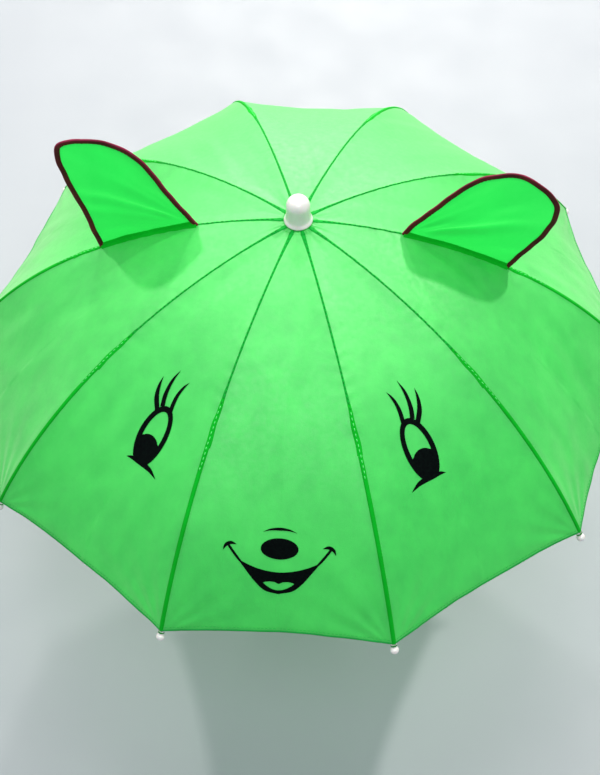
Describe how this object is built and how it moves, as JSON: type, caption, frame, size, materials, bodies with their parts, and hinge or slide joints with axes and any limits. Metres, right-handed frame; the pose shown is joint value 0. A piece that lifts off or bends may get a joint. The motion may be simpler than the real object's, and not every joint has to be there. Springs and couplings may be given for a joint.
{
  "type": "children's umbrella",
  "caption": "Child's stick umbrella with a domed green cloth canopy, a printed animal face, standing cloth ears, ball-tipped ribs and a hooked handle.",
  "frame": {"origin": "middle of the hand grip, on the shaft's axis", "axes": "+Z along the shaft towards the finial; -Y towards the front gore with the mouth; the ears stand on the +X and -X ribs"},
  "size_m": [0.6184, 0.5884, 0.5672],
  "materials": {
    "green_cloth": "thin woven synthetic, lets light through",
    "dark_binding": "matt woven tape",
    "black_print": "printed ink on cloth",
    "green_thread": "sewing thread",
    "white_plastic": "moulded, glossy",
    "steel": "bright plated"
  },
  "bodies": {
    "shaft": {"shaft_tube": "steel", "handle": "white_plastic", "finial_cap": "white_plastic", "crown": "white_plastic", "crown_wire": "steel", "canopy_centre": "green_cloth"},
    "runner_body": {"runner": "white_plastic", "runner_wire": "steel"},
    "top_catch_body": {"top_catch": "steel"},
    "bottom_catch_body": {"bottom_catch": "steel"},
    "rib_body_0": {"rib_0": "steel", "rib_tip_0": "white_plastic", "canopy_0": "green_cloth", "ear_right": "green_cloth", "ear_binding_right": "dark_binding"},
    "stretcher_body_0": {"stretcher_0": "steel"},
    "rib_body_1": {"rib_1": "steel", "rib_tip_1": "white_plastic", "canopy_1": "green_cloth"},
    "stretcher_body_1": {"stretcher_1": "steel"},
    "rib_body_2": {"rib_2": "steel", "rib_tip_2": "white_plastic", "canopy_2": "green_cloth"},
    "stretcher_body_2": {"stretcher_2": "steel"},
    "rib_body_3": {"rib_3": "steel", "rib_tip_3": "white_plastic", "canopy_3": "green_cloth", "tie_strap": "green_cloth"},
    "stretcher_body_3": {"stretcher_3": "steel"},
    "rib_body_4": {"rib_4": "steel", "rib_tip_4": "white_plastic", "canopy_4": "green_cloth"},
    "stretcher_body_4": {"stretcher_4": "steel"},
    "rib_body_5": {"rib_5": "steel", "rib_tip_5": "white_plastic", "canopy_5": "green_cloth", "ear_left": "green_cloth", "ear_binding_left": "dark_binding"},
    "stretcher_body_5": {"stretcher_5": "steel"},
    "rib_body_6": {"rib_6": "steel", "rib_tip_6": "white_plastic", "canopy_6": "green_cloth"},
    "stretcher_body_6": {"stretcher_6": "steel"},
    "rib_body_7": {"rib_7": "steel", "rib_tip_7": "white_plastic", "canopy_7": "green_cloth"},
    "stretcher_body_7": {"stretcher_7": "steel"},
    "rib_body_8": {"rib_8": "steel", "rib_tip_8": "white_plastic", "canopy_8": "green_cloth"},
    "stretcher_body_8": {"stretcher_8": "steel"},
    "rib_body_9": {"rib_9": "steel", "rib_tip_9": "white_plastic", "canopy_9": "green_cloth"},
    "stretcher_body_9": {"stretcher_9": "steel"}
  },
  "joints": [
    {"name": "runner_slide", "type": "slide", "parent": "shaft", "child": "runner_body", "axis": [0, 0, 1], "range_m": [-0.16859, 0]},
    {"name": "top_catch_press", "type": "slide", "parent": "shaft", "child": "top_catch_body", "axis": [0, 1, 0], "range_m": [-0.0022, 0], "stiffness_N_per_m": 400},
    {"name": "bottom_catch_press", "type": "slide", "parent": "shaft", "child": "bottom_catch_body", "axis": [0, 1, 0], "range_m": [-0.0022, 0], "stiffness_N_per_m": 400},
    {"name": "rib_hinge_0", "type": "hinge", "parent": "shaft", "child": "rib_body_0", "pos_m": [0.011, 0, 0.42], "axis": [0, 1, 0], "range_deg": [0, 57.82], "deforming": ["canopy_0"]},
    {"name": "stretcher_hinge_0", "type": "hinge", "parent": "runner_body", "child": "stretcher_body_0", "pos_m": [0.011, 0, 0.30567], "axis": [0, -1, 0], "range_deg": [0, 44.98]},
    {"name": "rib_hinge_1", "type": "hinge", "parent": "shaft", "child": "rib_body_1", "pos_m": [0.0089, 0.00647, 0.42], "axis": [-0.5878, 0.809, 0], "range_deg": [0, 57.82], "deforming": ["canopy_1"]},
    {"name": "stretcher_hinge_1", "type": "hinge", "parent": "runner_body", "child": "stretcher_body_1", "pos_m": [0.0089, 0.00647, 0.30567], "axis": [0.5878, -0.809, 0], "range_deg": [0, 44.98]},
    {"name": "rib_hinge_2", "type": "hinge", "parent": "shaft", "child": "rib_body_2", "pos_m": [0.0034, 0.01046, 0.42], "axis": [-0.9511, 0.309, 0], "range_deg": [0, 57.82], "deforming": ["canopy_2"]},
    {"name": "stretcher_hinge_2", "type": "hinge", "parent": "runner_body", "child": "stretcher_body_2", "pos_m": [0.0034, 0.01046, 0.30567], "axis": [0.9511, -0.309, 0], "range_deg": [0, 44.98]},
    {"name": "rib_hinge_3", "type": "hinge", "parent": "shaft", "child": "rib_body_3", "pos_m": [-0.0034, 0.01046, 0.42], "axis": [-0.9511, -0.309, 0], "range_deg": [0, 57.82], "deforming": ["canopy_3", "tie_strap"]},
    {"name": "stretcher_hinge_3", "type": "hinge", "parent": "runner_body", "child": "stretcher_body_3", "pos_m": [-0.0034, 0.01046, 0.30567], "axis": [0.9511, 0.309, 0], "range_deg": [0, 44.98]},
    {"name": "rib_hinge_4", "type": "hinge", "parent": "shaft", "child": "rib_body_4", "pos_m": [-0.0089, 0.00647, 0.42], "axis": [-0.5878, -0.809, 0], "range_deg": [0, 57.82], "deforming": ["canopy_4"]},
    {"name": "stretcher_hinge_4", "type": "hinge", "parent": "runner_body", "child": "stretcher_body_4", "pos_m": [-0.0089, 0.00647, 0.30567], "axis": [0.5878, 0.809, 0], "range_deg": [0, 44.98]},
    {"name": "rib_hinge_5", "type": "hinge", "parent": "shaft", "child": "rib_body_5", "pos_m": [-0.011, 0, 0.42], "axis": [0, -1, 0], "range_deg": [0, 57.82], "deforming": ["canopy_5"]},
    {"name": "stretcher_hinge_5", "type": "hinge", "parent": "runner_body", "child": "stretcher_body_5", "pos_m": [-0.011, 0, 0.30567], "axis": [0, 1, 0], "range_deg": [0, 44.98]},
    {"name": "rib_hinge_6", "type": "hinge", "parent": "shaft", "child": "rib_body_6", "pos_m": [-0.0089, -0.00647, 0.42], "axis": [0.5878, -0.809, 0], "range_deg": [0, 57.82], "deforming": ["canopy_6"]},
    {"name": "stretcher_hinge_6", "type": "hinge", "parent": "runner_body", "child": "stretcher_body_6", "pos_m": [-0.0089, -0.00647, 0.30567], "axis": [-0.5878, 0.809, 0], "range_deg": [0, 44.98]},
    {"name": "rib_hinge_7", "type": "hinge", "parent": "shaft", "child": "rib_body_7", "pos_m": [-0.0034, -0.01046, 0.42], "axis": [0.9511, -0.309, 0], "range_deg": [0, 57.82], "deforming": ["canopy_7"]},
    {"name": "stretcher_hinge_7", "type": "hinge", "parent": "runner_body", "child": "stretcher_body_7", "pos_m": [-0.0034, -0.01046, 0.30567], "axis": [-0.9511, 0.309, 0], "range_deg": [0, 44.98]},
    {"name": "rib_hinge_8", "type": "hinge", "parent": "shaft", "child": "rib_body_8", "pos_m": [0.0034, -0.01046, 0.42], "axis": [0.9511, 0.309, 0], "range_deg": [0, 57.82], "deforming": ["canopy_8"]},
    {"name": "stretcher_hinge_8", "type": "hinge", "parent": "runner_body", "child": "stretcher_body_8", "pos_m": [0.0034, -0.01046, 0.30567], "axis": [-0.9511, -0.309, 0], "range_deg": [0, 44.98]},
    {"name": "rib_hinge_9", "type": "hinge", "parent": "shaft", "child": "rib_body_9", "pos_m": [0.0089, -0.00647, 0.42], "axis": [0.5878, 0.809, 0], "range_deg": [0, 57.82], "deforming": ["canopy_9"]},
    {"name": "stretcher_hinge_9", "type": "hinge", "parent": "runner_body", "child": "stretcher_body_9", "pos_m": [0.0089, -0.00647, 0.30567], "axis": [-0.5878, -0.809, 0], "range_deg": [0, 44.98]}
  ],
  "couplings": [
    {"joint": "rib_hinge_0", "follows": "runner_slide", "rad_per_m": -5.9807},
    {"joint": "stretcher_hinge_0", "follows": "runner_slide", "rad_per_m": -4.6515},
    {"joint": "rib_hinge_1", "follows": "runner_slide", "rad_per_m": -5.9807},
    {"joint": "stretcher_hinge_1", "follows": "runner_slide", "rad_per_m": -4.6515},
    {"joint": "rib_hinge_2", "follows": "runner_slide", "rad_per_m": -5.9807},
    {"joint": "stretcher_hinge_2", "follows": "runner_slide", "rad_per_m": -4.6515},
    {"joint": "rib_hinge_3", "follows": "runner_slide", "rad_per_m": -5.9807},
    {"joint": "stretcher_hinge_3", "follows": "runner_slide", "rad_per_m": -4.6515},
    {"joint": "rib_hinge_4", "follows": "runner_slide", "rad_per_m": -5.9807},
    {"joint": "stretcher_hinge_4", "follows": "runner_slide", "rad_per_m": -4.6515},
    {"joint": "rib_hinge_5", "follows": "runner_slide", "rad_per_m": -5.9807},
    {"joint": "stretcher_hinge_5", "follows": "runner_slide", "rad_per_m": -4.6515},
    {"joint": "rib_hinge_6", "follows": "runner_slide", "rad_per_m": -5.9807},
    {"joint": "stretcher_hinge_6", "follows": "runner_slide", "rad_per_m": -4.6515},
    {"joint": "rib_hinge_7", "follows": "runner_slide", "rad_per_m": -5.9807},
    {"joint": "stretcher_hinge_7", "follows": "runner_slide", "rad_per_m": -4.6515},
    {"joint": "rib_hinge_8", "follows": "runner_slide", "rad_per_m": -5.9807},
    {"joint": "stretcher_hinge_8", "follows": "runner_slide", "rad_per_m": -4.6515},
    {"joint": "rib_hinge_9", "follows": "runner_slide", "rad_per_m": -5.9807},
    {"joint": "stretcher_hinge_9", "follows": "runner_slide", "rad_per_m": -4.6515}
  ]
}
